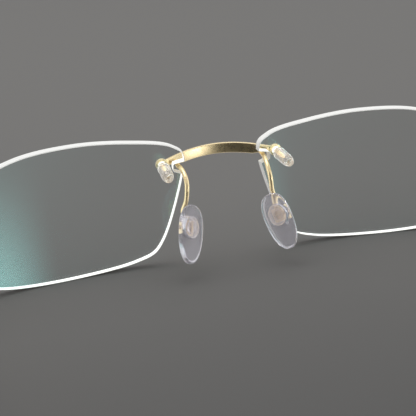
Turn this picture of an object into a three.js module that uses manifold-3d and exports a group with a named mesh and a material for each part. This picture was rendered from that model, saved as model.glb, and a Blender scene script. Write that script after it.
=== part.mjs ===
// Rimless eyeglasses: two drilled lenses, a gold bridge with wire pad arms, and folding gold temples.
//
// Millimetres, +Z up. The wearer looks along -Y, the wearer's left is +X and the temples run back along +Y.
// The pieces are designed about a working origin: x = 0 is the nose plane, z = 0 the height of the lens
// centres and y = 0 their depth. The whole group is moved at the end, so that the origin lies under the
// middle of the bounding box, on the plane that the glasses stand on.
// Every paired piece is designed on the wearer's left and mirrored to the right.

import * as THREE from 'three';
import { mergeVertices } from 'three/addons/utils/BufferGeometryUtils.js';
import Module from 'manifold-3d';

const wasm = await Module();
wasm.setup();

// ---------- driving dimensions ----------

const GAP = 0.05; // clearance between assembled pieces
const STANDING_Z = -13.78; // plane that the lenses and the temple tips stand on

const lens = {
  centreX: 36,
  surfaceRadius: 139.8, // base curve
  wrap: THREE.MathUtils.degToRad(6.3), // outer side turned back round the face
  thickness: 2,
  // x and z of the edge, from the nose side over the top and back along the bottom
  outline: [
    [9.0, 9.3], [11.5, 14.3], [21.2, 16.4], [33.7, 17.4], [46.9, 16.4], [56.9, 12.2],
    [61.5, 3.6], [60.5, -6.8], [54.7, -12.1], [39.7, -13.8], [21.6, -12.4], [14.5, -7.5],
  ],
  outlineSteps: 60,
  ringFractions: [0.2, 0.42, 0.62, 0.82, 1],
  nasalHole: [13.7, 9.5],
  temporalHole: [57.3, 7.5],
  holeRadius: 0.78,
};

const notch = { z: 9.2, innerX: 11.4, halfHeight: 0.9 }; // open slot in the nose-side edge

const bolt = { shankRadius: 0.5, headRadius: 1.0, headHeight: 0.65, endS: 6.4 };
const eyelet = { radius: 1.4, thickness: 0.8 };
const bushingRadius = 0.72;
const washer = { radius: 1.45, thickness: 0.8 };
const cap = { radius: 1.4, shoulderS: 5.2, endS: 8.4, tipRadius: 0.5 };

const bridge = {
  thickness: 0.8,
  middleHeight: 2.4,
  stripHeight: 1.15,
  // x and y of the band's centre line, from the middle to the eyelet
  centreLine: [[0, -4.69], [4, -4.42], [7.5, -3.73], [10, -2.88], [11.8, -2.2], [12.75, -1.93]],
  narrowFromX: 8.4,
  narrowToX: 13,
};

const pad = {
  centre: new THREE.Vector3(10.37, 9.67, -3.88),
  splay: THREE.MathUtils.degToRad(57.5),
  frontal: THREE.MathUtils.degToRad(12.3),
  vertical: THREE.MathUtils.degToRad(28),
  length: 13.3,
  width: 6.5,
  taper: 0.11,
  frontBulge: 1.1,
  backBulge: 1.5,
  // powers of the rounded outline and the rounded section, 2 being an ellipse
  outlinePower: 2.4,
  sectionPower: 2.8,
};

const core = { length: 4.8, width: 3.9, centreL: 1.5, frontN: 0, backN: -0.85 };
const stem = { halfWidth: 0.5, radius: 0.5, axisN: -1.75 };
const box = { halfWidth: 1.15, halfLength: 1.6, wall: 0.5, backWall: 0.35, frontN: -1.25, backN: -2.7 };
const padScrew = { radius: 0.3, headRadius: 0.55, headThickness: 0.4 };
const armRadius = 0.52;

const hinge = {
  x: 65.3,
  y: 13.0,
  z: 7.5,
  knuckleRadius: 1.3,
  halfHeight: 1.8,
  middleHalfHeight: 0.55,
  screwRadius: 0.5,
  screwHeadRadius: 0.95,
  plateThickness: 0.5,
  plateLength: 3.0,
};

const band = { thickness: 1.1, stripHeight: 1.5, hingeHeight: 3.4 };

const temple = {
  straight: 92, // hinge to the start of the ear bend
  bendRadius: 30,
  bendAngle: THREE.MathUtils.degToRad(31.5),
  length: 140,
  inwardCurve: 4,
  tipStart: 86,
  coreEnd: 122,
  coreThickness: 0.9,
  coreHeight: 1.5,
  tipThickness: 2.6,
  tipHeight: 4.2,
  tipEndHeight: 4.9,
};

// ---------- solids and geometries ----------

function signedVolume(positions, triangles) {
  const corner = (index) => new THREE.Vector3().fromArray(positions, 3 * triangles[index]);
  let volume = 0;
  for (let t = 0; t < triangles.length; t += 3) {
    volume += corner(t).dot(corner(t + 1).cross(corner(t + 2))) / 6;
  }
  return volume;
}

// Makes a manifold solid of a closed three.js geometry, whichever way its faces point.
function solidOf(geometry) {
  const bare = geometry.clone();
  bare.deleteAttribute('normal');
  bare.deleteAttribute('uv');
  const merged = mergeVertices(bare, 1e-5);
  const positions = merged.getAttribute('position').array;
  const index = merged.getIndex().array;
  const triangles = [];
  for (let t = 0; t < index.length; t += 3) {
    const [a, b, c] = [index[t], index[t + 1], index[t + 2]];
    if (a !== b && b !== c && c !== a) triangles.push(a, b, c);
  }
  if (signedVolume(positions, triangles) < 0) triangles.reverse();
  return new wasm.Manifold(new wasm.Mesh({
    numProp: 3,
    vertProperties: Float32Array.from(positions),
    triVerts: Uint32Array.from(triangles),
  }));
}

function geometryOf(solid) {
  const mesh = solid.getMesh();
  const geometry = new THREE.BufferGeometry();
  geometry.setAttribute('position', new THREE.BufferAttribute(mesh.vertProperties, 3));
  geometry.setIndex(new THREE.BufferAttribute(mesh.triVerts, 1));
  return geometry;
}

function join(...solids) {
  return solids.reduce((whole, next) => whole.add(next));
}

function cut(solid, ...tools) {
  return tools.reduce((rest, tool) => rest.subtract(tool), solid);
}

function mirrored(geometry) {
  const copy = geometry.clone();
  copy.scale(-1, 1, 1);
  const index = copy.getIndex();
  for (let t = 0; t < index.count; t += 3) {
    const first = index.getX(t);
    index.setX(t, index.getX(t + 1));
    index.setX(t + 1, first);
  }
  return copy;
}

// ---------- general shapes ----------

// Joins closed loops of equal length into one body, with a flat cap on each end.
function loft(loops) {
  const size = loops[0].length;
  const positions = loops.flat().flatMap((point) => point.toArray());
  const triangles = [];
  for (let ring = 0; ring + 1 < loops.length; ring += 1) {
    for (let i = 0; i < size; i += 1) {
      const a = ring * size + i;
      const b = ring * size + (i + 1) % size;
      triangles.push(a, b, a + size, b, b + size, a + size);
    }
  }
  const last = (loops.length - 1) * size;
  for (let i = 1; i + 1 < size; i += 1) {
    triangles.push(0, i + 1, i);
    triangles.push(last, last + i, last + i + 1);
  }
  const geometry = new THREE.BufferGeometry();
  geometry.setAttribute('position', new THREE.Float32BufferAttribute(positions, 3));
  geometry.setIndex(triangles);
  return solidOf(geometry);
}

// A body turned about an axis. The profile's points are [radius, distance along the axis].
function turned(profile, origin, axis, segments = 16) {
  const points = profile.map(([radius, along]) => new THREE.Vector2(radius, along));
  const geometry = new THREE.LatheGeometry(points, segments);
  const up = new THREE.Vector3(0, 1, 0);
  geometry.applyQuaternion(new THREE.Quaternion().setFromUnitVectors(up, axis));
  geometry.translate(...origin.toArray());
  return solidOf(geometry);
}

function rod(radius, from, to, segments = 16) {
  const axis = to.clone().sub(from);
  const length = axis.length();
  return turned([[0, 0], [radius, 0], [radius, length], [0, length]], from, axis.normalize(), segments);
}

function ring(innerRadius, outerRadius, start, end, origin, axis, segments = 16) {
  const profile = [
    [innerRadius, start], [outerRadius, start], [outerRadius, end], [innerRadius, end], [innerRadius, start],
  ];
  return turned(profile, origin, axis, segments);
}

function block(low, high) {
  const size = high.clone().sub(low);
  const geometry = new THREE.BoxGeometry(...size.toArray());
  geometry.translate(...low.clone().add(high).multiplyScalar(0.5).toArray());
  return solidOf(geometry);
}

// A rectangle with cut corners, as a loop round a point.
function bandLoop(centre, across, up, thickness, height) {
  const corner = Math.min(thickness, height) * 0.2;
  const a = thickness / 2;
  const b = height / 2;
  const corners = [
    [a, b - corner], [a - corner, b], [corner - a, b], [-a, b - corner],
    [-a, corner - b], [corner - a, -b], [a - corner, -b], [a, corner - b],
  ];
  return corners.map(([x, z]) => centre.clone().addScaledVector(across, x).addScaledVector(up, z));
}

function ovalLoop(centre, across, up, thickness, height, points = 12) {
  return Array.from({ length: points }, (_, i) => {
    const angle = (2 * Math.PI * i) / points;
    const x = Math.sign(Math.cos(angle)) * Math.abs(Math.cos(angle)) ** 0.8 * thickness / 2;
    const z = Math.sign(Math.sin(angle)) * Math.abs(Math.sin(angle)) ** 0.8 * height / 2;
    return centre.clone().addScaledVector(across, x).addScaledVector(up, z);
  });
}

function smoothstep(value, from, to) {
  return THREE.MathUtils.smoothstep(value, from, to);
}

// ---------- lens ----------

function lensNormal(x, z) {
  const u = (x - lens.centreX) / lens.surfaceRadius;
  const [c, s] = [Math.cos(lens.wrap), Math.sin(lens.wrap)];
  return new THREE.Vector3(-s - u * c, c - u * s, -z / lens.surfaceRadius).normalize();
}

// A point at x, z of the outline drawing, lying depth behind the middle surface.
function lensPoint(x, z, depth) {
  const u = x - lens.centreX;
  const sag = (u * u + z * z) / (2 * lens.surfaceRadius);
  const [c, s] = [Math.cos(lens.wrap), Math.sin(lens.wrap)];
  const middle = new THREE.Vector3(lens.centreX + u * c - sag * s, u * s + sag * c, z);
  return middle.addScaledVector(lensNormal(x, z), depth);
}

function lensBody() {
  const edge = new THREE.CatmullRomCurve3(
    lens.outline.map(([x, z]) => new THREE.Vector3(x, 0, z)), true, 'catmullrom', 0.5,
  ).getPoints(lens.outlineSteps).slice(0, -1);
  const loopAt = (fraction, depth) => edge.map((point) => lensPoint(
    lens.centreX + (point.x - lens.centreX) * fraction, point.z * fraction, depth,
  ));
  const half = lens.thickness / 2;
  const front = lens.ringFractions.map((fraction) => loopAt(fraction, -half));
  const back = [...lens.ringFractions].reverse().map((fraction) => loopAt(fraction, half));
  return loft([...front, ...back]);
}

function notchTool() {
  const shape = new THREE.Shape();
  const roundX = notch.innerX - notch.halfHeight;
  shape.moveTo(lens.outline[0][0] - 3, notch.z - notch.halfHeight);
  shape.lineTo(roundX, notch.z - notch.halfHeight);
  shape.absarc(roundX, notch.z, notch.halfHeight, -Math.PI / 2, Math.PI / 2, false);
  shape.lineTo(lens.outline[0][0] - 3, notch.z + notch.halfHeight);
  const geometry = new THREE.ExtrudeGeometry(shape, { depth: 8, bevelEnabled: false, curveSegments: 8 });
  geometry.rotateX(Math.PI / 2);
  geometry.translate(0, 4, 0);
  return solidOf(geometry);
}

function holeTool([x, z]) {
  return rod(lens.holeRadius, lensPoint(x, z, -4), lensPoint(x, z, 4));
}

function makeLens() {
  const under = block(new THREE.Vector3(0, -20, STANDING_Z - 10), new THREE.Vector3(80, 20, STANDING_Z));
  return cut(lensBody(), notchTool(), holeTool(lens.nasalHole), holeTool(lens.temporalHole), under);
}

// ---------- fasteners at a lens hole ----------

const lensHalf = lens.thickness / 2;
const eyeletBack = -lensHalf - GAP;
const eyeletFront = eyeletBack - eyelet.thickness;

function makeBolt([x, z]) {
  const headBack = eyeletFront - GAP;
  const headFront = headBack - bolt.headHeight;
  const profile = [
    [0, headFront], [bolt.headRadius * 0.55, headFront + 0.08], [bolt.headRadius * 0.9, headFront + 0.3],
    [bolt.headRadius, headBack - 0.15], [bolt.headRadius, headBack], [bolt.shankRadius, headBack],
    [bolt.shankRadius, bolt.endS - 0.25], [bolt.shankRadius - 0.2, bolt.endS], [0, bolt.endS],
  ];
  return turned(profile, lensPoint(x, z, 0), lensNormal(x, z), 16);
}

function makeBushing([x, z]) {
  const inner = bolt.shankRadius + GAP;
  return ring(inner, bushingRadius, -lensHalf, lensHalf, lensPoint(x, z, 0), lensNormal(x, z), 16);
}

const washerFront = lensHalf + GAP;
const washerBack = washerFront + washer.thickness;

function makeWasher([x, z]) {
  const inner = bolt.shankRadius + GAP;
  return ring(inner, washer.radius, washerFront, washerBack, lensPoint(x, z, 0), lensNormal(x, z));
}

function makeCap([x, z]) {
  const front = washerBack + GAP;
  const inner = bolt.shankRadius + GAP;
  const nose = 4; // rings in the rounded end
  const profile = [[inner, front], [cap.radius, front]];
  for (let i = 0; i <= nose; i += 1) {
    const angle = (i / nose) * Math.PI * 0.42;
    const radius = cap.tipRadius + (cap.radius - cap.tipRadius) * Math.cos(angle);
    profile.push([radius, cap.shoulderS + (cap.endS - cap.shoulderS) * Math.sin(angle)]);
  }
  profile.push([0, cap.endS], [0, bolt.endS + GAP], [inner, bolt.endS + GAP], [inner, front]);
  return turned(profile, lensPoint(x, z, 0), lensNormal(x, z));
}

function eyeletDisc([x, z]) {
  return rod(eyelet.radius, lensPoint(x, z, eyeletFront), lensPoint(x, z, eyeletBack));
}

// The bolt's hole through an eyelet, with the spot face that its head sits on.
function eyeletHole([x, z]) {
  const hole = rod(bolt.shankRadius + GAP, lensPoint(x, z, -6), lensPoint(x, z, 0), 16);
  const spotFace = rod(bolt.headRadius + GAP, lensPoint(x, z, -6), lensPoint(x, z, eyeletFront));
  return join(hole, spotFace);
}

// ---------- bridge ----------

function bridgeTop(x) {
  const t = x / 10;
  return 12.15 - 1.13 * t ** 2 + 0.09 * t ** 4;
}

// The arched band, grown by extra all round where a neighbour is to be trimmed to it.
function bridgeBand(extra = 0) {
  const right = bridge.centreLine.slice(1).reverse().map(([x, y]) => new THREE.Vector3(-x, y, 0));
  const left = bridge.centreLine.map(([x, y]) => new THREE.Vector3(x, y, 0));
  const curve = new THREE.CatmullRomCurve3([...right, ...left], false, 'centripetal');
  const stations = 24;
  const up = new THREE.Vector3(0, 0, 1);
  const loops = [];
  for (let i = 0; i <= stations; i += 1) {
    const centre = curve.getPointAt(i / stations);
    const along = curve.getTangentAt(i / stations);
    const height = THREE.MathUtils.clamp(
      THREE.MathUtils.mapLinear(
        Math.abs(centre.x), bridge.narrowFromX, bridge.narrowToX, bridge.middleHeight, bridge.stripHeight,
      ),
      bridge.stripHeight,
      bridge.middleHeight,
    );
    centre.z = bridgeTop(centre.x) - height / 2;
    const across = new THREE.Vector3().crossVectors(along, up).normalize();
    loops.push(bandLoop(centre, across, up, bridge.thickness + 2 * extra, height + 2 * extra));
  }
  return loft(loops);
}

function makeBridge() {
  const discLeft = eyeletDisc(lens.nasalHole);
  const holeLeft = eyeletHole(lens.nasalHole);
  const flip = (solid) => solidOf(mirrored(geometryOf(solid)));
  return cut(join(bridgeBand(), discLeft, flip(discLeft)), holeLeft, flip(holeLeft));
}

// ---------- nose pad assembly ----------

// Directions of the left pad: towards the nose, across its width and up its length.
function padDirections() {
  const turn = new THREE.Matrix4().makeRotationX(pad.vertical)
    .multiply(new THREE.Matrix4().makeRotationY(-pad.frontal))
    .multiply(new THREE.Matrix4().makeRotationZ(-pad.splay));
  const toward = new THREE.Vector3(-1, 0, 0).transformDirection(turn);
  const across = new THREE.Vector3(0, 1, 0).transformDirection(turn);
  const up = new THREE.Vector3(0, 0, 1).transformDirection(turn);
  return { toward, across, up };
}

const padFrame = padDirections();

// Places a solid drawn with x across the pad, y up its length and z towards the nose.
function inPadFrame(solid) {
  const { across, up, toward } = padFrame;
  const geometry = geometryOf(solid);
  geometry.applyMatrix4(new THREE.Matrix4().makeBasis(across, up, toward).setPosition(pad.centre));
  return solidOf(geometry);
}

function padPoint(w, l, n) {
  const { across, up, toward } = padFrame;
  return pad.centre.clone().addScaledVector(across, w).addScaledVector(up, l).addScaledVector(toward, n);
}

// Keeps the sign of a sine or cosine while its size is raised to a power.
function signedPower(value, power) {
  return Math.sign(value) * Math.abs(value) ** power;
}

function padLoop(scale, n) {
  const points = 24;
  return Array.from({ length: points }, (_, i) => {
    const angle = (2 * Math.PI * i) / points;
    const w = (pad.width / 2) * signedPower(Math.cos(angle), 2 / pad.outlinePower);
    const l = (pad.length / 2) * signedPower(Math.sin(angle), 2 / pad.outlinePower);
    return new THREE.Vector3(w * scale * (1 + pad.taper * Math.sin(angle)), l * scale, n);
  });
}

function ovalPlate(width, length, fromN, toN) {
  const shape = new THREE.Shape();
  shape.absellipse(0, core.centreL, width / 2, length / 2, 0, 2 * Math.PI, false, 0);
  const geometry = new THREE.ExtrudeGeometry(shape, {
    depth: toN - fromN, bevelEnabled: false, curveSegments: 10,
  });
  geometry.translate(0, 0, fromN);
  return solidOf(geometry);
}

function makeNosePad() {
  const rings = 7;
  const loops = [];
  for (let i = 0; i <= rings; i += 1) {
    const angle = THREE.MathUtils.degToRad(-78 + (156 * i) / rings);
    const bulge = angle < 0 ? pad.backBulge : pad.frontBulge;
    const n = bulge * signedPower(Math.sin(angle), 2 / pad.sectionPower);
    loops.push(padLoop(Math.cos(angle) ** (2 / pad.sectionPower), n));
  }
  const pocket = ovalPlate(core.width + 2 * GAP, core.length + 2 * GAP, -3, core.frontN + GAP);
  return inPadFrame(cut(loft(loops), pocket));
}

function screwAxis(fromW, toW, radius, segments = 16) {
  const at = (w) => new THREE.Vector3(w, core.centreL, stem.axisN);
  return rod(radius, at(fromW), at(toW), segments);
}

function makePadCore() {
  const plate = ovalPlate(core.width, core.length, core.backN, core.frontN);
  const tab = block(
    new THREE.Vector3(-stem.halfWidth, core.centreL - stem.radius, stem.axisN),
    new THREE.Vector3(stem.halfWidth, core.centreL + stem.radius, core.backN + 0.2),
  );
  const eye = screwAxis(-stem.halfWidth, stem.halfWidth, stem.radius);
  const hole = screwAxis(-2, 2, padScrew.radius + GAP);
  return inPadFrame(cut(join(plate, tab, eye), hole));
}

function makePadBox() {
  const outer = block(
    new THREE.Vector3(-box.halfWidth, core.centreL - box.halfLength, box.backN),
    new THREE.Vector3(box.halfWidth, core.centreL + box.halfLength, box.frontN),
  );
  const [w, l] = [box.halfWidth - box.wall, box.halfLength - box.wall];
  const hollow = block(
    new THREE.Vector3(-w, core.centreL - l, box.backN + box.backWall),
    new THREE.Vector3(w, core.centreL + l, box.frontN + 1),
  );
  const hole = screwAxis(-2, 2, padScrew.radius + GAP);
  return inPadFrame(cut(outer, hollow, hole));
}

function makePadScrew() {
  const seat = box.halfWidth + GAP;
  const shank = screwAxis(-box.halfWidth, seat + 0.1, padScrew.radius);
  const head = screwAxis(seat, seat + padScrew.headThickness, padScrew.headRadius);
  return inPadFrame(join(shank, head));
}

function makePadArm() {
  const boxTop = core.centreL + box.halfLength + GAP;
  const path = new THREE.CatmullRomCurve3([
    new THREE.Vector3(10.0, -2.9, 10.0),
    new THREE.Vector3(10.1, -1.6, 9.5),
    new THREE.Vector3(10.08, -0.1, 9.25),
    new THREE.Vector3(9.9, 1.6, 9.15),
    new THREE.Vector3(9.68, 3.7, 8.4),
    new THREE.Vector3(9.62, 5.3, 7.1),
    new THREE.Vector3(9.78, 6.0, 5.3),
    new THREE.Vector3(10.1, 5.6, 2.6),
    padPoint(0.3, boxTop + 2.6, -2.7),
    padPoint(0.05, boxTop + 1.5, -2.7),
    padPoint(0, boxTop + 0.6, -2.45),
    padPoint(0, boxTop, -2.15),
  ], false, 'centripetal');
  const round = new THREE.Shape();
  round.absarc(0, 0, armRadius, 0, 2 * Math.PI, false);
  const geometry = new THREE.ExtrudeGeometry(round, {
    steps: 26, curveSegments: 5, bevelEnabled: false, extrudePath: path,
  });
  return cut(solidOf(geometry), bridgeBand(GAP), inPadFrame(block(
    new THREE.Vector3(-3, core.centreL - 3, -5),
    new THREE.Vector3(3, boxTop, 0),
  )));
}

// ---------- endpiece and hinge ----------

function makeEndpiece() {
  const [x, z] = lens.temporalHole;
  const stripDepth = eyeletBack - band.thickness / 2;
  const outerX = hinge.x + hinge.knuckleRadius + GAP + band.thickness / 2;
  const path = new THREE.CatmullRomCurve3([
    lensPoint(x + 1, z, stripDepth),
    lensPoint(x + 3.7, z, stripDepth - 0.1),
    new THREE.Vector3(64.2, 4.75, z),
    new THREE.Vector3(66.4, 6.8, z),
    new THREE.Vector3(outerX, 9.5, z),
    new THREE.Vector3(outerX, hinge.y - 0.1, z),
  ], false, 'centripetal');
  const stations = 16;
  const up = new THREE.Vector3(0, 0, 1);
  const loops = [];
  for (let i = 0; i <= stations; i += 1) {
    const along = path.getTangentAt(i / stations);
    const centre = path.getPointAt(i / stations);
    const height = THREE.MathUtils.lerp(band.stripHeight, band.hingeHeight, smoothstep(i / stations, 0.25, 0.7));
    const across = new THREE.Vector3().crossVectors(along, up).normalize();
    loops.push(bandLoop(centre, across, up, band.thickness, height));
  }
  return cut(join(loft(loops), eyeletDisc(lens.temporalHole)), eyeletHole(lens.temporalHole));
}

function hingeAxis(radius, low, high, segments = 24) {
  return rod(
    radius,
    new THREE.Vector3(hinge.x, hinge.y, hinge.z + low),
    new THREE.Vector3(hinge.x, hinge.y, hinge.z + high),
    segments,
  );
}

// One flat hinge plate, ahead of the screw or behind it.
function hingePlate(fromY, toY) {
  const inner = hinge.knuckleRadius - hinge.plateThickness;
  return block(
    new THREE.Vector3(hinge.x + inner, hinge.y + fromY, hinge.z - hinge.halfHeight),
    new THREE.Vector3(hinge.x + hinge.knuckleRadius, hinge.y + toY, hinge.z + hinge.halfHeight),
  );
}

const turningRadius = hinge.knuckleRadius + 0.12;
const knuckleGap = 0.1;
const outerKnuckleLow = hinge.middleHalfHeight + knuckleGap;

function makeHingeFront() {
  const plate = cut(
    hingePlate(-hinge.plateLength, -0.15),
    hingeAxis(turningRadius, -outerKnuckleLow, outerKnuckleLow),
  );
  const lower = hingeAxis(hinge.knuckleRadius, -hinge.halfHeight, -outerKnuckleLow);
  const upper = hingeAxis(hinge.knuckleRadius, outerKnuckleLow, hinge.halfHeight);
  return cut(join(plate, lower, upper), hingeAxis(hinge.screwRadius + GAP, -3, 3, 16));
}

function makeHingeRear() {
  const low = hinge.middleHalfHeight;
  const plate = cut(
    hingePlate(0.15, hinge.plateLength),
    hingeAxis(turningRadius, low, 3),
    hingeAxis(turningRadius, -3, -low),
  );
  const knuckle = hingeAxis(hinge.knuckleRadius, -low, low);
  return cut(join(plate, knuckle), hingeAxis(hinge.screwRadius + GAP, -3, 3, 16));
}

function makeHingeScrew() {
  const seat = hinge.halfHeight + GAP;
  const shank = hingeAxis(hinge.screwRadius, -hinge.halfHeight, seat + 0.1, 16);
  const head = hingeAxis(hinge.screwHeadRadius, seat, seat + 0.4, 16);
  return join(shank, head);
}

// ---------- temple ----------

// Centre of the temple at a distance along it from the hinge, with its up direction there.
function templeStation(distance) {
  const x = hinge.x + hinge.knuckleRadius + GAP + band.thickness / 2;
  const past = Math.max(0, distance - temple.straight);
  const arcLength = temple.bendRadius * temple.bendAngle;
  const angle = Math.min(past / temple.bendRadius, temple.bendAngle);
  const beyond = Math.max(0, past - arcLength);
  const run = temple.bendRadius * Math.sin(angle) + beyond * Math.cos(temple.bendAngle);
  const drop = temple.bendRadius * (1 - Math.cos(angle)) + beyond * Math.sin(temple.bendAngle);
  const inward = temple.inwardCurve * (past / (temple.length - temple.straight)) ** 2;
  const y = hinge.y + Math.min(distance, temple.straight) + run;
  return {
    centre: new THREE.Vector3(x - inward, y, hinge.z - drop),
    up: new THREE.Vector3(0, Math.sin(angle), Math.cos(angle)),
  };
}

const acrossTemple = new THREE.Vector3(1, 0, 0);

function templeLoft(distances, loopOf) {
  return loft(distances.map((distance) => {
    const { centre, up } = templeStation(distance);
    return loopOf(distance, centre, up);
  }));
}

function spaced(from, to, count) {
  return Array.from({ length: count + 1 }, (_, i) => from + ((to - from) * i) / count);
}

function templeCore(extra, from, to) {
  return templeLoft(spaced(from, to, 12), (distance, centre, up) => bandLoop(
    centre, acrossTemple, up, temple.coreThickness + 2 * extra, temple.coreHeight + 2 * extra,
  ));
}

function makeTempleArm() {
  const blade = templeLoft([0.1, 6, 14, 30, 50, 70, temple.tipStart - GAP], (distance, centre, up) => {
    const taper = smoothstep(distance, 6, 60);
    const height = THREE.MathUtils.lerp(band.hingeHeight, 2.6, taper);
    return bandLoop(centre, acrossTemple, up, band.thickness, height);
  });
  return join(blade, templeCore(0, temple.tipStart - 1, temple.coreEnd));
}

function makeTempleTip() {
  const rounding = 4;
  const ends = spaced(temple.length - rounding, temple.length - 0.15, 5);
  const distances = [...spaced(temple.tipStart, temple.length - rounding, 12), ...ends.slice(1)];
  const sleeve = templeLoft(distances, (distance, centre, up) => {
    const swell = smoothstep(distance, temple.tipStart, temple.length - rounding);
    const lead = 0.8 + 0.2 * smoothstep(distance, temple.tipStart, temple.tipStart + 8);
    const intoEnd = Math.max(0, distance - (temple.length - rounding)) / rounding;
    const scale = lead * Math.sqrt(1 - intoEnd ** 2);
    const height = THREE.MathUtils.lerp(temple.tipHeight, temple.tipEndHeight, swell);
    return ovalLoop(centre, acrossTemple, up, temple.tipThickness * scale, height * scale);
  });
  const socket = templeCore(GAP, temple.tipStart - 2, temple.coreEnd + 0.2);
  const under = block(new THREE.Vector3(0, 0, STANDING_Z - 20), new THREE.Vector3(90, 300, STANDING_Z));
  return cut(sleeve, socket, under);
}

// ---------- assembly ----------

const finishes = {
  lens: { color: 0xdfeeee, roughness: 0.05, metalness: 0 },
  gold: { color: 0xd9b45a, roughness: 0.2, metalness: 1 },
  plastic: { color: 0xe8e4dc, roughness: 0.15, metalness: 0 },
  silicone: { color: 0xdedee2, roughness: 0.3, metalness: 0 },
  tip: { color: 0x3a2a1e, roughness: 0.25, metalness: 0 },
};

const group = new THREE.Group();

function addPiece(name, geometry, finish) {
  const mesh = new THREE.Mesh(geometry, new THREE.MeshStandardMaterial(finishes[finish]));
  mesh.name = name;
  group.add(mesh);
}

function addPair(name, solid, finish) {
  const geometry = geometryOf(solid);
  addPiece(`${name}_left`, geometry, finish);
  addPiece(`${name}_right`, mirrored(geometry), finish);
}

addPair('lens', makeLens(), 'lens');
addPiece('bridge', geometryOf(makeBridge()), 'gold');
addPair('pad_arm', makePadArm(), 'gold');
addPair('pad_box', makePadBox(), 'gold');
addPair('pad_screw', makePadScrew(), 'gold');
addPair('pad_core', makePadCore(), 'plastic');
addPair('nose_pad', makeNosePad(), 'silicone');
for (const [place, hole] of [['nasal', lens.nasalHole], ['temporal', lens.temporalHole]]) {
  addPair(`${place}_bolt`, makeBolt(hole), 'gold');
  addPair(`${place}_bushing`, makeBushing(hole), 'plastic');
  addPair(`${place}_washer`, makeWasher(hole), 'plastic');
  addPair(`${place}_cap`, makeCap(hole), 'plastic');
}
addPair('endpiece', makeEndpiece(), 'gold');
addPair('hinge_front', makeHingeFront(), 'gold');
addPair('hinge_rear', makeHingeRear(), 'gold');
addPair('hinge_screw', makeHingeScrew(), 'gold');
addPair('temple_arm', makeTempleArm(), 'gold');
addPair('temple_tip', makeTempleTip(), 'tip');

const bounds = new THREE.Box3().setFromObject(group);
group.position.set(0, -(bounds.min.y + bounds.max.y) / 2, -bounds.min.z);

export default group;
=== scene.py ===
"""Rimless eyeglasses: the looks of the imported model, seen from behind and a little above."""

import math

import bpy
from mathutils import Matrix, Vector
from mathutils.geometry import delaunay_2d_cdt


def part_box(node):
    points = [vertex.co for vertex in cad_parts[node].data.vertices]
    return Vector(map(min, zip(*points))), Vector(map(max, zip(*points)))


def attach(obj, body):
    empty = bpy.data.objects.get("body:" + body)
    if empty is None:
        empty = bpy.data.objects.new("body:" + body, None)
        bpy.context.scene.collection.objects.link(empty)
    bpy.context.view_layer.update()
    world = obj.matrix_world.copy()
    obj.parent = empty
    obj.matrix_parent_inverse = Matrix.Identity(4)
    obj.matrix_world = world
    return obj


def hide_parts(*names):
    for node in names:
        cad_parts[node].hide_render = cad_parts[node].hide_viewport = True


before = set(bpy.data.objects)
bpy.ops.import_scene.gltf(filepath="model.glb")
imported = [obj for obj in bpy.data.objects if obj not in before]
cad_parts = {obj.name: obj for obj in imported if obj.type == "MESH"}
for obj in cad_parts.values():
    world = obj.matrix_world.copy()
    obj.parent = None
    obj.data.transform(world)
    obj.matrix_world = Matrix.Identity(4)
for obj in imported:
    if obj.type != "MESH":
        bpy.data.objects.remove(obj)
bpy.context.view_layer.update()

# ---------- places and sizes, in millimetres about the working origin ----------

MM = 0.001
STANDING_Z = -13.78  # the plane that the glasses stand on, below the lens centres
HINGE = Vector((65.3, 13.0, 7.5))

screw_low, screw_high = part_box("hinge_screw_left")
ORIGIN = Vector((0, (screw_low.y + screw_high.y) / 2 - HINGE.y * MM, -STANDING_Z * MM))

SIDES = {"left": 1, "right": -1}
UP = Vector((0, 0, 1))
ACROSS = Vector((1, 0, 0))

LENS_CENTRE_X = 36.0
LENS_RADIUS = 139.8
LENS_WRAP = math.radians(6.3)
LENS_HALF = 1.0
LENS_OUTLINE = [
    (9.0, 9.3), (11.5, 14.3), (21.2, 16.4), (33.7, 17.4), (46.9, 16.4), (56.9, 12.2),
    (61.5, 3.6), (60.5, -6.8), (54.7, -12.1), (39.7, -13.8), (21.6, -12.4), (14.5, -7.5),
]
CHAMFER = 0.12
# The inner wall is there to carry a painted glow: the light that the glass would pipe to its edge.
WITHIN = 0.03  # the inner wall stands this far inside the ground edge
WITHIN_DEPTH = LENS_HALF - 0.02
NASAL_HOLE = (13.7, 9.5)
TEMPORAL_HOLE = (57.3, 7.5)
HOLE_RADIUS = 0.78
NOTCH_Z = 9.2
NOTCH_INNER_X = 11.4
NOTCH_HALF = 0.9
NOTCH_CORNER = 0.4
NOTCH_MOUTH = NOTCH_HALF + 0.12

GAP = 0.05
SHANK_RADIUS = 0.5
BOLT_HEAD_RADIUS = 1.0
BOLT_END = 6.4
EYELET_RADIUS = 1.4
EYELET_BACK = -LENS_HALF - GAP
EYELET_FRONT = EYELET_BACK - 0.8
WASHER_RADIUS = 1.45
WASHER_FRONT = LENS_HALF + GAP
WASHER_BACK = WASHER_FRONT + 0.8
CAP_RADIUS = 1.4
CAP_SHOULDER = 5.2
CAP_END = 8.4
CAP_TIP_RADIUS = 0.5
CAP_TIP_SWEEP = math.radians(75.6)
THREAD_PITCH = 0.3
THREAD_DEPTH = 0.09

BRIDGE_LINE = [(0, -4.69), (4, -4.42), (7.5, -3.73), (10, -2.88), (11.8, -2.2), (12.75, -1.93)]
BRIDGE_THICKNESS = 0.8
BRIDGE_HEIGHT = 2.4
BRIDGE_TOP_Z = 12.15
STRIP_HEIGHT = 1.15
NARROW_FROM_X = 8.4
NARROW_TO_X = 13.0

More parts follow.
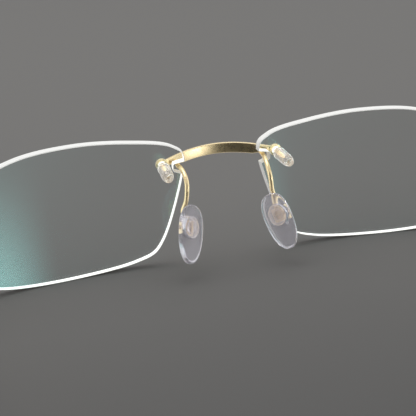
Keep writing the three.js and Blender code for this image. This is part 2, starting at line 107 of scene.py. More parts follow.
PAD_CENTRE = Vector((10.37, 9.67, -3.88))
PAD_SPLAY = math.radians(57.5)
PAD_FRONTAL = math.radians(12.3)
PAD_VERTICAL = math.radians(28)
PAD_LENGTH = 13.3
PAD_WIDTH = 6.5
PAD_TAPER = 0.11
PAD_FRONT = 1.1
PAD_BACK = -1.5
PAD_OUTLINE_POWER = 2.4  # 2 is an ellipse
PAD_SECTION_POWER = 2.8
CORE_L = 1.5  # the stiff core's middle, above the pad's middle
CORE_WIDTH = 3.9
CORE_LENGTH = 4.8
CORE_FRONT = 0.0
CORE_BACK = -0.85
BOX_TOP = CORE_L + 1.6 + GAP
ARM_RADIUS = 0.52

BAND_THICKNESS = 1.1
BAND_X = HINGE.x + 1.3 + GAP + BAND_THICKNESS / 2
TEMPLE_STRAIGHT = 92.0
TEMPLE_BEND_RADIUS = 30.0
TEMPLE_BEND = math.radians(31.5)
TEMPLE_LENGTH = 140.0
TEMPLE_INWARD = 4.0
TIP_START = 86.0
TIP_ROUNDING = 4.0
TIP_SHOULDER = TEMPLE_LENGTH - 0.02 - TIP_ROUNDING
TIP_THICKNESS = 2.6
TIP_HEIGHT = 4.2
TIP_END_HEIGHT = 4.9
ARM_HEIGHT = 3.4
ARM_END_HEIGHT = 2.6

CAMERA_AZIMUTH = 13.32  # degrees round from +Y
CAMERA_ELEVATION = 19.06
CAMERA_ROLL = math.radians(-3.75)
CAMERA_DISTANCE = 0.26
CAMERA_AIM = Vector((3.77, -0.25, -1.82))
CAMERA_FOCAL_LENGTH = 97.2


# ---------- small helpers ----------

def smoothstep(value, start, end):
    t = min(max((value - start) / (end - start), 0), 1)
    return t * t * (3 - 2 * t)


def lerp(a, b, t):
    return a + (b - a) * t


def spaced(start, end, count):
    return [start + (end - start) * i / count for i in range(count + 1)]


def catmull_rom(points, per_span, closed=False):
    """Points along a smooth line through the given ones."""
    count = len(points)
    spans = count if closed else count - 1
    line = []
    for i in range(spans):
        if closed:
            a, b, c, d = (points[(i + k) % count] for k in (-1, 0, 1, 2))
        else:
            b, c = points[i], points[i + 1]
            a = points[i - 1] if i else b * 2 - c
            d = points[i + 2] if i + 2 < count else c * 2 - b
        for step in range(per_span):
            t = step / per_span
            line.append(0.5 * (
                2 * b + (c - a) * t + (2 * a - 5 * b + 4 * c - d) * t ** 2
                + (3 * b - a - 3 * c + d) * t ** 3
            ))
    if not closed:
        line.append(points[-1].copy())
    return line


def tangents(line):
    last = len(line) - 1
    return [(line[min(i + 1, last)] - line[max(i - 1, 0)]).normalized() for i in range(last + 1)]


class Body:
    """Vertices and faces of one piece, in working millimetres, drawn for the wearer's left."""

    def __init__(self):
        self.points = []
        self.faces = []
        self.slots = []

    def add_face(self, corners, slot=0):
        self.faces.append(tuple(corners))
        self.slots.append(slot)

    def add_loops(self, loops, caps=(True, True), slot=0):
        """Closed loops of equal length joined side by side, with a cap on each end."""
        size = len(loops[0])
        start = len(self.points)
        for loop in loops:
            self.points.extend(loop)
        for ring in range(len(loops) - 1):
            for i in range(size):
                a = start + ring * size + i
                b = start + ring * size + (i + 1) % size
                self.add_face((a, b, b + size, a + size), slot)
        if caps[0]:
            self.add_face(reversed(range(start, start + size)), slot)
        if caps[1]:
            end = start + (len(loops) - 1) * size
            self.add_face(range(end, end + size), slot)

    def add_turned(self, profile, origin, axis, segments=48, slot=0):
        """A profile of (radius, distance along the axis), turned about the axis."""
        side = axis.orthogonal().normalized()
        other = axis.cross(side)
        closed = profile[0] == profile[-1]
        loops = []
        for radius, along in (profile[:-1] if closed else profile):
            centre = origin + axis * along
            angles = (2 * math.pi * i / segments for i in range(segments))
            loops.append([
                centre + (side * math.cos(a) + other * math.sin(a)) * max(radius, 1e-3) for a in angles
            ])
        if closed:
            loops.append(loops[0])
        self.add_loops(loops, (not closed, not closed), slot)

    def build(self, name, side, materials, smooth_angle=40):
        mesh = bpy.data.meshes.new(name)
        points = [ORIGIN + Vector((p.x * side, p.y, p.z)) * MM for p in self.points]
        mesh.from_pydata(points, [], self.faces)
        for material in materials:
            mesh.materials.append(material)
        for polygon, slot in zip(mesh.polygons, self.slots):
            polygon.material_index = slot
        piece = bpy.data.objects.new(name, mesh)
        bpy.context.scene.collection.objects.link(piece)
        bpy.context.view_layer.objects.active = piece
        piece.select_set(True)
        bpy.ops.object.mode_set(mode="EDIT")
        bpy.ops.mesh.select_all(action="SELECT")
        bpy.ops.mesh.remove_doubles(threshold=2e-7)
        bpy.ops.mesh.normals_make_consistent(inside=False)
        bpy.ops.object.mode_set(mode="OBJECT")
        piece.select_set(False)
        mesh.shade_smooth()
        mesh.set_sharp_from_angle(angle=math.radians(smooth_angle))
        return piece


def rounded_loop(centre, across, up, thickness, height, radius, per_corner=5):
    """A rectangle with round corners, as a loop round a point."""
    a = thickness / 2 - radius
    b = height / 2 - radius
    loop = []
    for corner, (x, z) in enumerate([(a, b), (-a, b), (-a, -b), (a, -b)]):
        for i in range(per_corner + 1):
            angle = math.pi / 2 * (corner + i / per_corner)
            loop.append(
                centre + across * (x + radius * math.cos(angle)) + up * (z + radius * math.sin(angle))
            )
    return loop


def circle_loop(centre, across, up, radius, points=24):
    angles = (2 * math.pi * i / points for i in range(points))
    return [centre + (across * math.cos(a) + up * math.sin(a)) * radius for a in angles]


# ---------- materials ----------

def new_material(name):
    material = bpy.data.materials.new(name)
    material.use_nodes = True
    tree = material.node_tree
    return material, tree, tree.nodes["Principled BSDF"]


def noise_bump(tree, shader, scale, strength, distance, stretch=(1, 1, 1)):
    """Fine relief from noise in the object's own space."""
    coordinates = tree.nodes.new("ShaderNodeTexCoord")
    mapping = tree.nodes.new("ShaderNodeMapping")
    mapping.inputs["Scale"].default_value = stretch
    noise = tree.nodes.new("ShaderNodeTexNoise")
    noise.inputs["Scale"].default_value = scale
    noise.inputs["Detail"].default_value = 4
    bump = tree.nodes.new("ShaderNodeBump")
    bump.inputs["Strength"].default_value = strength
    bump.inputs["Distance"].default_value = distance
    tree.links.new(coordinates.outputs["Object"], mapping.inputs["Vector"])
    tree.links.new(mapping.outputs["Vector"], noise.inputs["Vector"])
    tree.links.new(noise.outputs["Fac"], bump.inputs["Height"])
    tree.links.new(bump.outputs["Normal"], shader.inputs["Normal"])
    return noise


def noise_roughness(tree, shader, noise, low, high):
    spread = tree.nodes.new("ShaderNodeMapRange")
    spread.inputs["From Min"].default_value = 0.3
    spread.inputs["From Max"].default_value = 0.7
    spread.inputs["To Min"].default_value = low
    spread.inputs["To Max"].default_value = high
    tree.links.new(noise.outputs["Fac"], spread.inputs["Value"])
    tree.links.new(spread.outputs["Result"], shader.inputs["Roughness"])


def make_gold():
    material, tree, shader = new_material("polished_gold")
    shader.inputs["Base Color"].default_value = (0.93, 0.76, 0.45, 1)
    shader.inputs["Metallic"].default_value = 1
    noise = noise_bump(tree, shader, 900, 0.01, 0.00002)
    noise_roughness(tree, shader, noise, 0.24, 0.32)
    return material


def make_ground_edge(name, colour, painted_glow):
    """A finely ground rim. Its steady glow stands for the light that the glass carries to it."""
    material, tree, shader = new_material(name)
    shader.inputs["Base Color"].default_value = colour
    shader.inputs["Emission Color"].default_value = (1, 0.99, 0.96, 1)
    shader.inputs["Emission Strength"].default_value = painted_glow
    noise = noise_bump(tree, shader, 2500, 0.25, 0.00002)
    noise_roughness(tree, shader, noise, 0.35, 0.55)
    return material


def make_lens_face(name, mirror_colour, mirror_share):
    """A clear lens face: it passes nearly all light and mirrors a little of it, more at a low angle."""
    material, tree, shader = new_material(name)
    shader.inputs["Base Color"].default_value = mirror_colour
    shader.inputs["Metallic"].default_value = 1
    shader.inputs["Roughness"].default_value = 0.03
    clear = tree.nodes.new("ShaderNodeBsdfTransparent")
    clear.inputs["Color"].default_value = (1, 1, 1, 1)
    slant = tree.nodes.new("ShaderNodeLayerWeight")
    steep = tree.nodes.new("ShaderNodeMath")
    steep.operation = "POWER"
    steep.inputs[1].default_value = 5
    tree.links.new(slant.outputs["Facing"], steep.inputs[0])
    share = tree.nodes.new("ShaderNodeMapRange")
    share.inputs["To Min"].default_value = mirror_share
    tree.links.new(steep.outputs["Value"], share.inputs["Value"])
    mix = tree.nodes.new("ShaderNodeMixShader")
    output = tree.nodes["Material Output"]
    tree.links.new(share.outputs["Result"], mix.inputs["Fac"])
    tree.links.new(clear.outputs["BSDF"], mix.inputs[1])
    tree.links.new(shader.outputs["BSDF"], mix.inputs[2])
    tree.links.new(mix.outputs["Shader"], output.inputs["Surface"])
    return material


def cloudier_at_rim(tree, shader, middle, rim):
    """More light scatters at the rim, where it passes through more of the material."""
    slant = tree.nodes.new("ShaderNodeLayerWeight")
    slant.inputs["Blend"].default_value = 0.35
    share = tree.nodes.new("ShaderNodeMapRange")
    share.inputs["From Min"].default_value = 0.35
    share.inputs["From Max"].default_value = 0.95
    share.inputs["To Min"].default_value = middle
    share.inputs["To Max"].default_value = rim
    tree.links.new(slant.outputs["Facing"], share.inputs["Value"])
    tree.links.new(share.outputs["Result"], shader.inputs["Transmission Weight"])


def make_clear_plastic():
    """Clear plastic, whose faint steady glow stands for light scattered inside it."""
    material, tree, shader = new_material("clear_plastic")
    shader.inputs["Base Color"].default_value = (1.0, 0.97, 0.92, 1)
    shader.inputs["Emission Color"].default_value = (1, 0.9, 0.78, 1)
    shader.inputs["Emission Strength"].default_value = 0.05
    shader.inputs["IOR"].default_value = 1.49
    cloudier_at_rim(tree, shader, 0.93, 0.8)
    noise = noise_bump(tree, shader, 1500, 0.05, 0.00002)
    noise_roughness(tree, shader, noise, 0.05, 0.12)
    return material


def make_silicone():
    material, tree, shader = new_material("clear_silicone")
    shader.inputs["Base Color"].default_value = (0.95, 0.93, 1.0, 1)
    shader.inputs["IOR"].default_value = 1.41
    cloudier_at_rim(tree, shader, 0.85, 0.25)
    noise = noise_bump(tree, shader, 700, 0.1, 0.00005)
    noise_roughness(tree, shader, noise, 0.1, 0.2)
    return material


def make_acetate():
    material, tree, shader = new_material("brown_acetate")
    noise = noise_bump(tree, shader, 220, 0.04, 0.00005, (1, 0.3, 1))
    noise_roughness(tree, shader, noise, 0.1, 0.22)
    shades = tree.nodes.new("ShaderNodeValToRGB")
    shades.color_ramp.elements[0].position = 0.38
    shades.color_ramp.elements[0].color = (0.035, 0.014, 0.006, 1)
    shades.color_ramp.elements[1].position = 0.66
    shades.color_ramp.elements[1].color = (0.14, 0.055, 0.018, 1)
    tree.links.new(noise.outputs["Fac"], shades.inputs["Fac"])
    tree.links.new(shades.outputs["Color"], shader.inputs["Base Color"])
    shader.inputs["Coat Weight"].default_value = 0.5
    return material


GOLD = make_gold()
# Painted light: both edge materials glow, and the wall within glows far more than the ground edge.
EDGE = make_ground_edge("ground_lens_edge", (0.8, 0.8, 0.78, 1), 0.12)
EDGE_WITHIN = make_ground_edge("ground_edge_from_within", (0.8, 0.8, 0.78, 1), 0.7)
FRONT_FACE = make_lens_face("clear_lens_face", (0.9, 0.95, 0.95, 1), 0.015)
REAR_FACE = make_lens_face("coated_lens_face", (0.3, 0.95, 0.9, 1), 0.09)
PLASTIC = make_clear_plastic()
SILICONE = make_silicone()
ACETATE = make_acetate()


# ---------- lenses ----------

def lens_normal(x, z):
    u = (x - LENS_CENTRE_X) / LENS_RADIUS
    c, s = math.cos(LENS_WRAP), math.sin(LENS_WRAP)
    return Vector((-s - u * c, c - u * s, -z / LENS_RADIUS)).normalized()


def lens_point(x, z, depth):
    """A point at x, z of the outline drawing, lying depth behind the middle surface."""
    u = x - LENS_CENTRE_X
    sag = (u * u + z * z) / (2 * LENS_RADIUS)
    c, s = math.cos(LENS_WRAP), math.sin(LENS_WRAP)
    middle = Vector((LENS_CENTRE_X + u * c - sag * s, u * s + sag * c, z))
    return middle + lens_normal(x, z) * depth


def notch_path():
    """The slot in the nose-side edge, from its upper mouth round to its lower one."""
    high, low = NOTCH_Z + NOTCH_HALF, NOTCH_Z - NOTCH_HALF
    corner_x = NOTCH_INNER_X - NOTCH_CORNER
    path = []
    for centre_z, start in ((high - NOTCH_CORNER, 90), (low + NOTCH_CORNER, 0)):
        for i in range(7):
            angle = math.radians(start - 15 * i)
            path.append(Vector((
                corner_x + NOTCH_CORNER * math.cos(angle), centre_z + NOTCH_CORNER * math.sin(angle),
            )))
    return path


def lens_outline():
    """The edge with its slot, as x, z points in order."""
    smooth = catmull_rom([Vector(p) for p in LENS_OUTLINE], 24, closed=True)
    in_mouth = [p.x < NOTCH_INNER_X and abs(p.y - NOTCH_Z) < NOTCH_MOUTH for p in smooth]
    first_clear = next(i for i in range(1, len(smooth)) if in_mouth[i - 1] and not in_mouth[i])
    order = [(first_clear + k) % len(smooth) for k in range(len(smooth))]
    rest = [smooth[i] for i in order if not in_mouth[i]]
    return list(reversed(rest)) + notch_path()


def inset(outline, distance):
    """The outline moved inwards by a distance."""
    count = len(outline)
    moved = []
    for i, point in enumerate(outline):
        along = (outline[(i + 1) % count] - outline[i - 1]).normalized()
        moved.append(point + Vector((-along.y, along.x)) * distance)
    return moved


def signed_area(outline):
    return sum(a.x * b.y - b.x * a.y for a, b in zip(outline, outline[1:] + outline[:1])) / 2


def fill(outline, holes, spacing=1.6):
    """Points and triangles that fill an outline round its holes."""
    loops = [outline, *holes]
    points = [p for loop in loops for p in loop]
    edges = []
    start = 0
    for loop in loops:
        edges += [(start + i, start + (i + 1) % len(loop)) for i in range(len(loop))]
        start += len(loop)
    low_x, high_x = min(p.x for p in outline), max(p.x for p in outline)
    low_z, high_z = min(p.y for p in outline), max(p.y for p in outline)
    rows = int((high_z - low_z) / spacing)
    columns = int((high_x - low_x) / spacing)
    for row in range(1, rows):
        for column in range(1, columns):
            shift = 0.5 if row % 2 else 0
            spot = Vector((low_x + (column + shift) * spacing, low_z + row * spacing))
            if inside(spot, outline) and min((spot - p).length for p in points[:start]) > spacing * 0.5:
                points.append(spot)
    filled = delaunay_2d_cdt(points, edges, [], 0, 1e-5)
    flat, triangles = filled[0], filled[2]
    kept = []
    for triangle in triangles:
        middle = sum((flat[i] for i in triangle), Vector((0, 0))) / 3
        if inside(middle, outline) and not any(inside(middle, hole) for hole in holes):
            kept.append(tuple(triangle))
    return flat, kept


def inside(spot, outline):
    within = False
    for a, b in zip(outline, outline[1:] + outline[:1]):
        if (a.y > spot.y) != (b.y > spot.y):
            if spot.x < a.x + (b.x - a.x) * (spot.y - a.y) / (b.y - a.y):
                within = not within
    return within


def hole_outline(hole, radius, points=40):
    return [
        Vector((hole[0] + radius * math.cos(2 * math.pi * i / points),
                hole[1] + radius * math.sin(2 * math.pi * i / points)))
        for i in range(points)
    ]


def make_lens(side_name):
    """Two clear faces, the ground edges between them and, just inside those, a wall that carries a
    painted glow.
    """
    outline = lens_outline()
    if signed_area(outline) < 0:
        outline.reverse()
    face_outline = inset(outline, CHAMFER)
    holes = [NASAL_HOLE, TEMPORAL_HOLE]
    face_holes = [hole_outline(hole, HOLE_RADIUS + CHAMFER) for hole in holes]
    wall_holes = [hole_outline(hole, HOLE_RADIUS) for hole in holes]
    flat, triangles = fill(face_outline, face_holes)
    body = Body()
    for slot, depth in enumerate((-LENS_HALF, LENS_HALF)):
        start = len(body.points)
        body.points.extend(lens_point(p.x, p.y, depth) for p in flat)
        for triangle in triangles:
            body.add_face([start + i for i in triangle], slot)
    within_outline = inset(outline, CHAMFER + WITHIN)
    within_holes = [hole_outline(hole, HOLE_RADIUS + CHAMFER + WITHIN) for hole in holes]
    for line in [within_outline, *within_holes]:
        loops = [
            [lens_point(p.x, p.y, depth) for p in line] for depth in (-WITHIN_DEPTH, WITHIN_DEPTH)
        ]
        body.add_loops(loops, (False, False), 3)
    for at_face, at_wall in zip([face_outline, *face_holes], [outline, *wall_holes]):
        loops = [
            [lens_point(p.x, p.y, depth) for p in line]
            for line, depth in (
                (at_face, -LENS_HALF), (at_wall, CHAMFER - LENS_HALF), (at_wall, 0),
                (at_wall, LENS_HALF - CHAMFER), (at_face, LENS_HALF),
            )
        ]
        body.add_loops(loops, (False, False), 2)
    for point in body.points:
        point.z = max(point.z, STANDING_Z)
    materials = [FRONT_FACE, REAR_FACE, EDGE, EDGE_WITHIN]
    piece = body.build(f"lens_piece_{side_name}", SIDES[side_name], materials, 25)
    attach(piece, "front")
    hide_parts(f"lens_{side_name}")


# ---------- fasteners ----------

def rounded_ring(inner, outer, front, back, radius):
    """Profile of a ring whose outer corners are rounded."""
    profile = [(inner, front)]
    quarter = [math.pi / 2 * i / 4 for i in range(5)]
    side = outer - radius
    for angle in quarter:
        profile.append((side + radius * math.sin(angle), front + radius - radius * math.cos(angle)))
    for angle in quarter:
        profile.append((side + radius * math.cos(angle), back - radius + radius * math.sin(angle)))
    return profile + [(inner, back), (inner, front)]


def bolt_profile():
    """A domed head, a plain shank through the lens and an end with rings that look like a thread."""
    seat = EYELET_FRONT - GAP
    rim = seat - 0.2
    dome = 0.45
    profile = []
    for i in range(9):
        angle = math.pi / 2 * i / 8
        profile.append((BOLT_HEAD_RADIUS * math.sin(angle), rim - dome * math.cos(angle)))
    profile += [(BOLT_HEAD_RADIUS, seat), (SHANK_RADIUS, seat), (SHANK_RADIUS, WASHER_BACK)]
    turns = int((BOLT_END - 0.4 - WASHER_BACK) / THREAD_PITCH)
    for turn in range(turns):
        start = WASHER_BACK + turn * THREAD_PITCH
        profile.append((SHANK_RADIUS - THREAD_DEPTH, start + THREAD_PITCH * 0.5))
        profile.append((SHANK_RADIUS, start + THREAD_PITCH))
    profile += [(SHANK_RADIUS - 0.2, BOLT_END), (0, BOLT_END)]
    return profile


def cap_profile():
    """A round-nosed cap with a blind bore for the bolt's end."""
    front = WASHER_BACK + GAP
    bore = SHANK_RADIUS + GAP
    profile = [(bore, front), (CAP_RADIUS - 0.12, front), (CAP_RADIUS, front + 0.12)]
    for i in range(13):
        angle = CAP_TIP_SWEEP * i / 12
        radius = CAP_TIP_RADIUS + (CAP_RADIUS - CAP_TIP_RADIUS) * math.cos(angle)
        profile.append((radius, CAP_SHOULDER + (CAP_END - CAP_SHOULDER) * math.sin(angle)))
    return profile + [(0, CAP_END), (0, BOLT_END + GAP), (bore, BOLT_END + GAP), (bore, front)]


FASTENERS = {
    "bolt": (bolt_profile, GOLD, "gold"),
    "bushing": (lambda: rounded_ring(SHANK_RADIUS + GAP, 0.72, -LENS_HALF, LENS_HALF, 0.05), PLASTIC,
                "clear_plastic"),
    "washer": (lambda: rounded_ring(SHANK_RADIUS + GAP, WASHER_RADIUS, WASHER_FRONT, WASHER_BACK, 0.2),
               PLASTIC, "clear_plastic"),
    "cap": (cap_profile, PLASTIC, "clear_plastic"),
}


def make_fasteners(side_name):
    for place, hole in (("nasal", NASAL_HOLE), ("temporal", TEMPORAL_HOLE)):
        for kind, (profile, material, slot) in FASTENERS.items():
            body = Body()
            body.add_turned(profile(), lens_point(*hole, 0), lens_normal(*hole))
            node = f"{place}_{kind}_{side_name}"
            piece = body.build(f"{place}_{kind}_piece_{side_name}", SIDES[side_name], [material], 30)
            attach(piece, "front")
            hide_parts(node)


def add_eyelet(body, hole):
    """The round end of a gold strip, with the bolt's hole and the seat of its head."""
    bore = SHANK_RADIUS + GAP
    profile = rounded_ring(bore, EYELET_RADIUS, EYELET_FRONT, EYELET_BACK, 0.14)
    body.add_turned(profile, lens_point(*hole, 0), lens_normal(*hole))


# ---------- bridge ----------

def bridge_top(x):
    """The height of the arched top edge, from a curve in centimetres."""
    t = x / 10
    return BRIDGE_TOP_Z - 1.13 * t ** 2 + 0.09 * t ** 4


def make_bridge():
    half = [Vector((x, y, 0)) for x, y in BRIDGE_LINE]
    whole = [Vector((-p.x, p.y, 0)) for p in reversed(half[1:])] + half
    line = catmull_rom(whole, 10)
    body = Body()
    loops = []
    for centre, along in zip(line, tangents(line)):
        narrow = min(max((abs(centre.x) - NARROW_FROM_X) / (NARROW_TO_X - NARROW_FROM_X), 0), 1)
        height = lerp(BRIDGE_HEIGHT, STRIP_HEIGHT, narrow)
        middle = Vector((centre.x, centre.y, bridge_top(centre.x) - height / 2))
        across = along.cross(UP).normalized()
        loops.append(rounded_loop(middle, across, UP, BRIDGE_THICKNESS, height, 0.16))
    body.add_loops(loops)
    add_eyelet(body, NASAL_HOLE)
    right = Body()
    add_eyelet(right, NASAL_HOLE)
    start = len(body.points)
    body.points.extend(Vector((-p.x, p.y, p.z)) for p in right.points)
    for corners in right.faces:
        body.add_face([start + i for i in reversed(corners)])
    piece = body.build("bridge_piece", 1, [GOLD], 35)
    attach(piece, "front")
    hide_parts("bridge")


# ---------- nose pads ----------

def pad_directions():
    """Towards the nose, across the pad and up it."""
    turn = (
        Matrix.Rotation(PAD_VERTICAL, 3, "X")
        @ Matrix.Rotation(-PAD_FRONTAL, 3, "Y")
        @ Matrix.Rotation(-PAD_SPLAY, 3, "Z")
    )
    return turn @ Vector((-1, 0, 0)), turn @ Vector((0, 1, 0)), turn @ Vector((0, 0, 1))


PAD_TOWARD, PAD_ACROSS, PAD_UP = pad_directions()


def pad_point(w, l, n):
    return PAD_CENTRE + PAD_ACROSS * w + PAD_UP * l + PAD_TOWARD * n


def signed_power(value, power):
    return math.copysign(abs(value) ** power, value)


def pad_loop(scale, n, points=56):
    """The pad's rounded outline, wider towards the top, at a place through its thickness."""
    loop = []
    for i in range(points):
        angle = 2 * math.pi * i / points
        w = PAD_WIDTH / 2 * signed_power(math.cos(angle), 2 / PAD_OUTLINE_POWER)
        l = PAD_LENGTH / 2 * signed_power(math.sin(angle), 2 / PAD_OUTLINE_POWER)
        loop.append(pad_point(w * scale * (1 + PAD_TAPER * math.sin(angle)), l * scale, n))
    return loop


def oval_loop(width, length, n, points=56):
    loop = []
    for i in range(points):
        angle = 2 * math.pi * i / points
        loop.append(pad_point(width / 2 * math.cos(angle), CORE_L + length / 2 * math.sin(angle), n))
    return loop


def pad_section(angle):
    """How wide the pad is, as a share, and how far out its surface is, at an angle from its edge."""
    power = 2 / PAD_SECTION_POWER
    bulge = -PAD_BACK if angle < 0 else PAD_FRONT
    return math.cos(angle) ** power, bulge * signed_power(math.sin(angle), power)


def make_nose_pad(side_name):
    """A clear silicone cushion with an oval pocket in its back for the stiff core."""
    body = Body()
    outside = [pad_loop(*pad_section(math.radians(angle))) for angle in spaced(84, -66, 25)]
    back = PAD_BACK * 0.99
    pocket_width = CORE_WIDTH + 2 * GAP
    pocket_length = CORE_LENGTH + 2 * GAP
    floor_n = CORE_FRONT + GAP
    pocket = [
        oval_loop(pocket_width + 0.3, pocket_length + 0.3, back),
        oval_loop(pocket_width + 0.08, pocket_length + 0.08, back + 0.06),
        oval_loop(pocket_width, pocket_length, back + 0.2),
        oval_loop(pocket_width, pocket_length, floor_n),
    ]
    body.add_loops(outside + pocket)
    piece = body.build(f"nose_pad_piece_{side_name}", SIDES[side_name], [SILICONE], 60)
    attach(piece, f"pad_{side_name}")
    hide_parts(f"nose_pad_{side_name}")


def make_pad_core(side_name):
    """The stiff oval plate, with a groove and a dimple in its face. Its stem is left to the CAD."""
    groove = CORE_FRONT - 0.35
    rings = [
        (0.2, CORE_BACK), (0, CORE_BACK + 0.1), (0, CORE_FRONT - 0.1), (0.2, CORE_FRONT),
        (0.7, CORE_FRONT), (0.9, groove), (1.7, groove), (1.9, CORE_FRONT), (2.5, CORE_FRONT),
        (2.7, CORE_FRONT - 0.25),
    ]
    body = Body()
    body.add_loops([oval_loop(CORE_WIDTH - less, CORE_LENGTH - less, n) for less, n in rings])
    piece = body.build(f"pad_core_piece_{side_name}", SIDES[side_name], [PLASTIC], 40)
    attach(piece, f"pad_{side_name}")
    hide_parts(f"pad_core_{side_name}")


def make_pad_arm(side_name):
    """The round wire from the bridge to the top of the pad's box."""
    route = [
        Vector((10.0, -2.2, 9.9)), Vector((10.1, -1.6, 9.5)), Vector((10.08, -0.1, 9.25)),
        Vector((9.9, 1.6, 9.15)), Vector((9.68, 3.7, 8.4)), Vector((9.62, 5.3, 7.1)),
        Vector((9.78, 6.0, 5.3)), Vector((10.1, 5.6, 2.6)),
        pad_point(0.3, BOX_TOP + 2.6, -2.7), pad_point(0.05, BOX_TOP + 1.5, -2.7),
        pad_point(0, BOX_TOP + 0.6, -2.45), pad_point(0, BOX_TOP, -2.15),
    ]
    line = catmull_rom(route, 8)
    body = Body()
    across = ACROSS
    loops = []
    for centre, along in zip(line, tangents(line)):
        across = (across - along * across.dot(along)).normalized()
        loops.append(circle_loop(centre, across, along.cross(across), ARM_RADIUS))
    body.add_loops(loops)
    piece = body.build(f"pad_arm_piece_{side_name}", SIDES[side_name], [GOLD], 40)
    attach(piece, "front")
    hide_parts(f"pad_arm_{side_name}")


# ---------- endpieces, hinges and temples ----------

def make_endpiece(side_name):
    x, z = TEMPORAL_HOLE
    depth = EYELET_BACK - BAND_THICKNESS / 2
    route = [
        lens_point(x + 1, z, depth), lens_point(x + 3.7, z, depth - 0.1), Vector((64.2, 4.75, z)),
        Vector((66.4, 6.8, z)), Vector((BAND_X, 9.5, z)), Vector((BAND_X, HINGE.y - 0.1, z)),
    ]
    line = catmull_rom(route, 10)
    last = len(line) - 1
    body = Body()
    loops = []
    for i, (centre, along) in enumerate(zip(line, tangents(line))):
        height = lerp(1.5, 3.4, smoothstep(i / last, 0.3, 0.75))
        loops.append(rounded_loop(centre, along.cross(UP).normalized(), UP, BAND_THICKNESS, height, 0.22))
    body.add_loops(loops)
    add_eyelet(body, TEMPORAL_HOLE)
    piece = body.build(f"endpiece_piece_{side_name}", SIDES[side_name], [GOLD], 35)
    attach(piece, "front")
    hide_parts(f"endpiece_{side_name}")


def temple_station(distance):
    """The temple's centre and up direction at a distance along it from the hinge."""
    past = max(0, distance - TEMPLE_STRAIGHT)
    angle = min(past / TEMPLE_BEND_RADIUS, TEMPLE_BEND)
    beyond = max(0, past - TEMPLE_BEND_RADIUS * TEMPLE_BEND)
    run = TEMPLE_BEND_RADIUS * math.sin(angle) + beyond * math.cos(TEMPLE_BEND)
    drop = TEMPLE_BEND_RADIUS * (1 - math.cos(angle)) + beyond * math.sin(TEMPLE_BEND)
    inward = TEMPLE_INWARD * (past / (TEMPLE_LENGTH - TEMPLE_STRAIGHT)) ** 2
    y = HINGE.y + min(distance, TEMPLE_STRAIGHT) + run
    return Vector((BAND_X - inward, y, HINGE.z - drop)), Vector((0, math.sin(angle), math.cos(angle)))


def make_temple_arm(side_name):
    body = Body()
    loops = []
    for distance in [0.1, 0.25, *spaced(2, TIP_START + 0.5, 24)]:
        centre, up = temple_station(distance)
        bevel = 0.2 if distance < 0.2 else 0
        height = lerp(ARM_HEIGHT, ARM_END_HEIGHT, smoothstep(distance, 6, 60)) - bevel
        loops.append(rounded_loop(centre, ACROSS, up, BAND_THICKNESS, height, 0.22))
    body.add_loops(loops)
    piece = body.build(f"temple_arm_piece_{side_name}", SIDES[side_name], [GOLD], 35)
    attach(piece, f"temple_{side_name}")
    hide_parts(f"temple_arm_{side_name}")


def make_temple_tip(side_name):
    straight = spaced(TIP_START, TIP_SHOULDER, 36)
    ends = [TIP_SHOULDER + TIP_ROUNDING * math.sin(math.pi / 2 * i / 10) for i in range(1, 10)]
    body = Body()
    loops = []
    for distance in straight + ends:
        centre, up = temple_station(distance)
        swell = smoothstep(distance, TIP_START, TIP_SHOULDER)
        lead = 0.8 + 0.2 * smoothstep(distance, TIP_START, TIP_START + 8)
        into_end = max(0, distance - TIP_SHOULDER) / TIP_ROUNDING
        scale = lead * math.sqrt(1 - into_end ** 2)
        height = lerp(TIP_HEIGHT, TIP_END_HEIGHT, swell) * scale
        thickness = TIP_THICKNESS * scale
        loop = []
        for i in range(28):
            angle = 2 * math.pi * i / 28
            x = signed_power(math.cos(angle), 0.8) * thickness / 2
            z = signed_power(math.sin(angle), 0.8) * height / 2
            loop.append(centre + ACROSS * x + up * z)
        loops.append(loop)
    body.add_loops(loops)
    for point in body.points:
        point.z = max(point.z, STANDING_Z)
    piece = body.build(f"temple_tip_piece_{side_name}", SIDES[side_name], [ACETATE], 50)
    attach(piece, f"temple_{side_name}")
    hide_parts(f"temple_tip_{side_name}")


def finish_cad_nodes():
    """The small CAD pieces that show as they are: pad boxes, screws and hinge halves."""
    for name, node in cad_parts.items():
        if name.startswith(("pad_box", "pad_screw", "hinge_")):
            for slot in range(len(node.data.materials)):
                node.data.materials[slot] = GOLD


# ---------- stage, light and camera ----------

def fade(tree, value, start, end, low=0.0, high=1.0):
    """A smooth change from low to high as a value goes from start to end."""
    spread = tree.nodes.new("ShaderNodeMapRange")
    spread.interpolation_type = "SMOOTHSTEP"
    spread.inputs["From Min"].default_value = start
    spread.inputs["From Max"].default_value = end
    spread.inputs["To Min"].default_value = low
    spread.inputs["To Max"].default_value = high
    tree.links.new(value, spread.inputs["Value"])
    return spread.outputs["Result"]


def combined(tree, operation, values):
    """Several sockets added or multiplied together."""
    total = values[0]
    for value in values[1:]:
        sum_or_product = tree.nodes.new("ShaderNodeMath")
        sum_or_product.operation = operation
        tree.links.new(total, sum_or_product.inputs[0])
        tree.links.new(value, sum_or_product.inputs[1])
        total = sum_or_product.outputs["Value"]
    return total


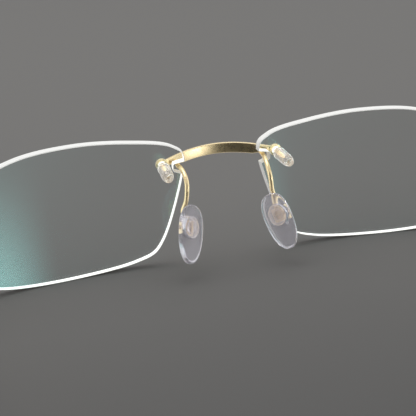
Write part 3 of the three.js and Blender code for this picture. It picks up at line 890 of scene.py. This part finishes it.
def make_floor():
    bpy.ops.mesh.primitive_plane_add(size=40)
    floor = bpy.context.object
    floor.name = "floor"
    material, tree, shader = new_material("studio_floor")
    coordinates = tree.nodes.new("ShaderNodeTexCoord")
    split = tree.nodes.new("ShaderNodeSeparateXYZ")
    tree.links.new(coordinates.outputs["Object"], split.inputs["Vector"])
    # Painted shade: the floor's base colour darkens towards +Y, nearer the camera, standing for light
    # that falls off there.
    painted_falloff = fade(tree, split.outputs["Y"], 0.08, -0.14)
    shades = tree.nodes.new("ShaderNodeValToRGB")
    shades.color_ramp.elements[0].color = (0.089, 0.088, 0.087, 1)
    shades.color_ramp.elements[1].color = (0.157, 0.154, 0.149, 1)
    tree.links.new(painted_falloff, shades.inputs["Fac"])
    tree.links.new(shades.outputs["Color"], shader.inputs["Base Color"])
    shader.inputs["Roughness"].default_value = 0.8
    shader.inputs["Specular IOR Level"].default_value = 0.2
    floor.data.materials.append(material)
    floor.visible_glossy = False


BRIGHT = 0.7
SIDE_PANEL = 0.7
DIM = 0.05
CARD = 3.6
DIM_MIDDLE = (12, -10)  # degrees round from +Y, and up
DIM_INNER = math.radians(20)
DIM_OUTER = math.radians(60)


def direction(azimuth, elevation):
    """A direction at an angle round from +Y towards +X, and an angle up."""
    a, e = math.radians(azimuth), math.radians(elevation)
    return Vector((math.sin(a) * math.cos(e), math.cos(a) * math.cos(e), math.sin(e)))


def make_world():
    """Soft white surroundings with side panels, dim round the back, and one brighter card there."""
    world = bpy.data.worlds.new("studio")
    bpy.context.scene.world = world
    world.use_nodes = True
    tree = world.node_tree
    background = tree.nodes["Background"]
    coordinates = tree.nodes.new("ShaderNodeTexCoord")
    split = tree.nodes.new("ShaderNodeSeparateXYZ")
    tree.links.new(coordinates.outputs["Generated"], split.inputs["Vector"])
    toward_back = tree.nodes.new("ShaderNodeVectorMath")
    toward_back.operation = "DOT_PRODUCT"
    toward_back.inputs[1].default_value = direction(*DIM_MIDDLE)
    tree.links.new(coordinates.outputs["Generated"], toward_back.inputs[0])
    surroundings = fade(
        tree, toward_back.outputs["Value"], math.cos(DIM_OUTER), math.cos(DIM_INNER), BRIGHT, DIM,
    )
    card = combined(tree, "MULTIPLY", [
        fade(tree, split.outputs["X"], -0.33, -0.47, 0, CARD),
        fade(tree, split.outputs["X"], -0.66, -0.52),
        fade(tree, split.outputs["Z"], -0.52, -0.14),
        fade(tree, split.outputs["Z"], 0.15, -0.05),
        fade(tree, split.outputs["Y"], 0.3, 0.6),
    ])
    panels = [
        fade(tree, split.outputs["X"], 0.7 * side, 0.92 * side, 0, SIDE_PANEL) for side in SIDES.values()
    ]
    tree.links.new(combined(tree, "ADD", [surroundings, card, *panels]), background.inputs["Strength"])
    background.inputs["Color"].default_value = (1, 1, 1, 1)


def make_key_light():
    light = bpy.data.lights.new("overhead_softbox", "AREA")
    light.shape = "RECTANGLE"
    light.size = 1.0
    light.size_y = 0.7
    light.energy = 3.5
    lamp = bpy.data.objects.new("overhead_softbox", light)
    lamp.location = (0.05, -0.35, 0.9)
    lamp.rotation_euler = (Vector((0, -0.05, 0)) - lamp.location).to_track_quat("-Z", "Y").to_euler()
    bpy.context.scene.collection.objects.link(lamp)


def make_camera():
    aim = ORIGIN + CAMERA_AIM * MM
    backward = direction(CAMERA_AZIMUTH, CAMERA_ELEVATION)
    right = (-backward).cross(UP).normalized()
    up = backward.cross(right)
    turned_right = right * math.cos(CAMERA_ROLL) + up * math.sin(CAMERA_ROLL)
    turned_up = up * math.cos(CAMERA_ROLL) - right * math.sin(CAMERA_ROLL)
    data = bpy.data.cameras.new("camera")
    data.lens = CAMERA_FOCAL_LENGTH
    data.sensor_width = 36
    data.clip_start = 0.01
    camera = bpy.data.objects.new("camera", data)
    rotation = Matrix((turned_right, turned_up, backward)).transposed().to_4x4()
    camera.matrix_world = Matrix.Translation(aim + backward * CAMERA_DISTANCE) @ rotation
    bpy.context.scene.collection.objects.link(camera)
    bpy.context.scene.camera = camera


make_camera()
make_world()
make_key_light()
make_floor()
make_bridge()
for side_name in SIDES:
    make_lens(side_name)
    make_fasteners(side_name)
    make_nose_pad(side_name)
    make_pad_core(side_name)
    make_pad_arm(side_name)
    make_endpiece(side_name)
    make_temple_arm(side_name)
    make_temple_tip(side_name)
finish_cad_nodes()
bpy.context.scene.view_settings.view_transform = "Standard"
